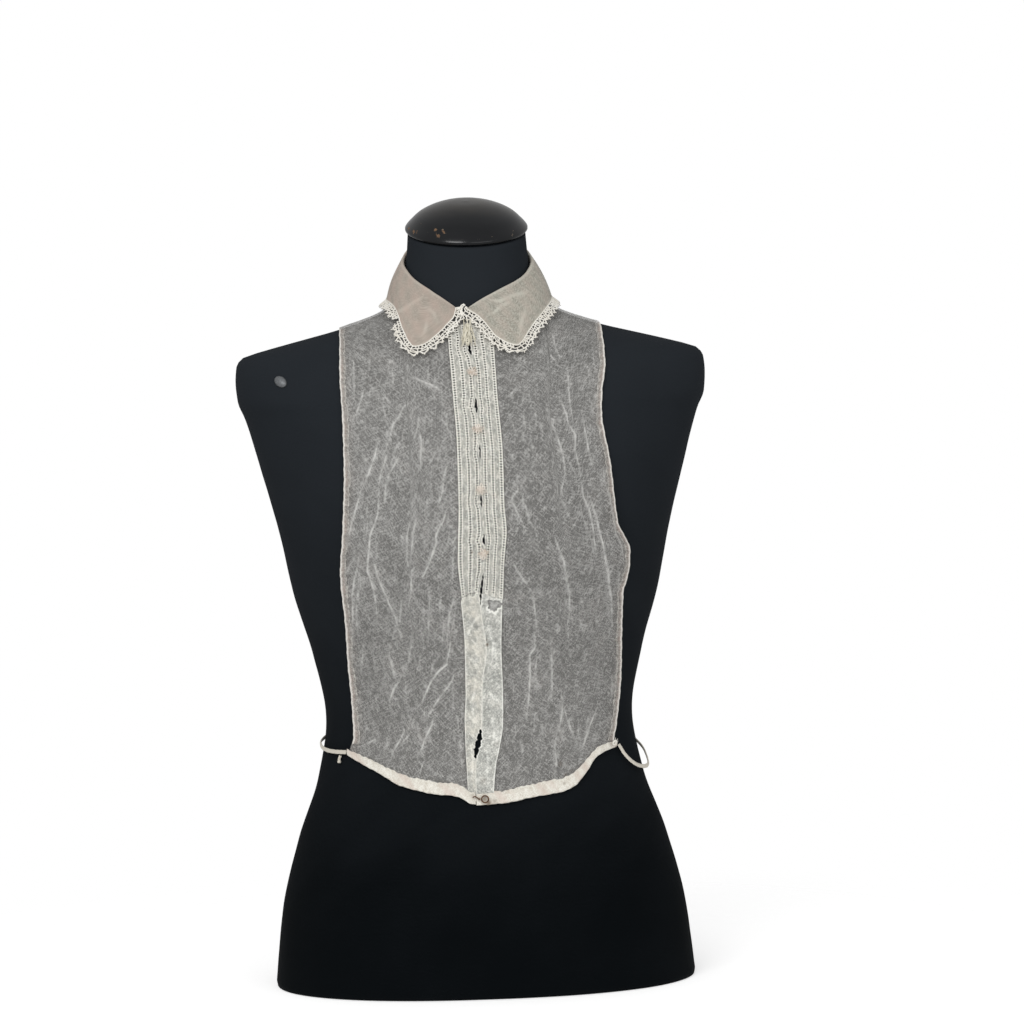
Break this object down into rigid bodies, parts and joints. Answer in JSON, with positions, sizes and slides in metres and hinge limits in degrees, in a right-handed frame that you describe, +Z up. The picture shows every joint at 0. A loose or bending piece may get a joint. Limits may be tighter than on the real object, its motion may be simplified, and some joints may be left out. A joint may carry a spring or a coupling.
{
  "type": "lace-collared net chemisette on dress form",
  "caption": "Sheer net chemisette with a lace-edged turn-down collar, buttoned hemstitched front and waist ties, fitted on a limbless dress form with a turned neck cap.",
  "frame": {"origin": "centre of the dress form's flat underside", "axes": "+Z up the form to its neck cap; -Y out of the buttoned front; +X to the right of the picture, the wearer's left"},
  "size_m": [0.374, 0.2403, 0.624],
  "materials": {
    "net": "sheer cotton net, creased",
    "lace": "cream needle lace",
    "doubled_cloth": "doubled sheer cloth, matt",
    "tape": "cream cotton tape",
    "thread": "worked thread",
    "rusty_wire": "rusted wire",
    "form_cloth": "black woven cover",
    "lacquered_wood": "black lacquer, chipped",
    "stud_metal": "dulled metal"
  },
  "bodies": {
    "root": {"front_left": "net", "front_right": "net", "back": "net", "collar": "doubled_cloth", "collar_lace": "lace", "placket_left": "doubled_cloth", "placket_right": "doubled_cloth", "facing_left": "doubled_cloth", "facing_right": "doubled_cloth", "hem_band_left": "tape", "hem_band_right": "tape", "hem_band_back": "tape", "tie_left": "tape", "tie_left_end": "tape", "tie_right": "tape", "tie_right_knot": "tape", "button_1": "thread", "button_2": "thread", "button_3": "thread", "button_4": "thread", "neck_tuft": "thread", "hook": "rusty_wire", "eye": "rusty_wire", "dress_form": "form_cloth", "neck_cap": "lacquered_wood", "form_stud": "stud_metal"}
  },
  "joints": []
}
